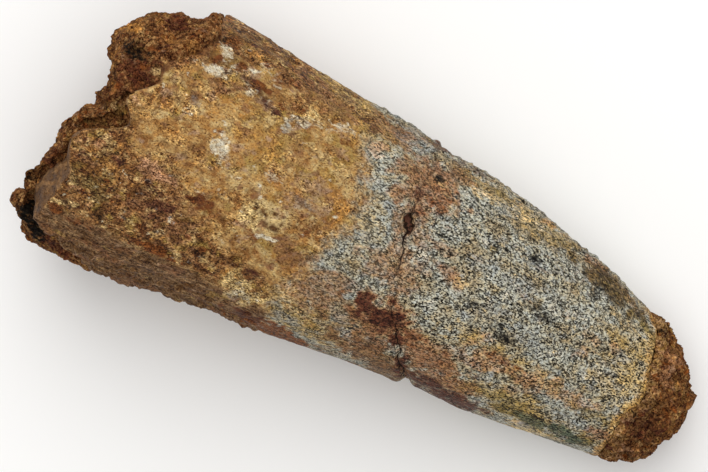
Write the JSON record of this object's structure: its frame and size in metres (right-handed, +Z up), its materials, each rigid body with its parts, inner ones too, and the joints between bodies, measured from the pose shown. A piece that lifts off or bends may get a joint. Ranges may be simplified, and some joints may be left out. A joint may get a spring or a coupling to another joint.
{
  "type": "fossil spinosaurus tooth",
  "caption": "Fossil tooth lying on its side, a thick tapering cone with worn tan root, mottled grey enamel, and sandstone in its broken root and on its broken tip.",
  "frame": {"origin": "on the surface the tooth lies on, under the middle of its bounding box", "axes": "+X along the tooth from root to tip, +Y across it towards its convex edge, +Z up"},
  "size_m": [0.074, 0.0306, 0.0272],
  "materials": {
    "fossil_tooth": "satin",
    "sandstone": "rough"
  },
  "bodies": {
    "root": {"tooth": "fossil_tooth", "root_sandstone": "sandstone", "tip_sandstone": "sandstone"}
  },
  "joints": []
}
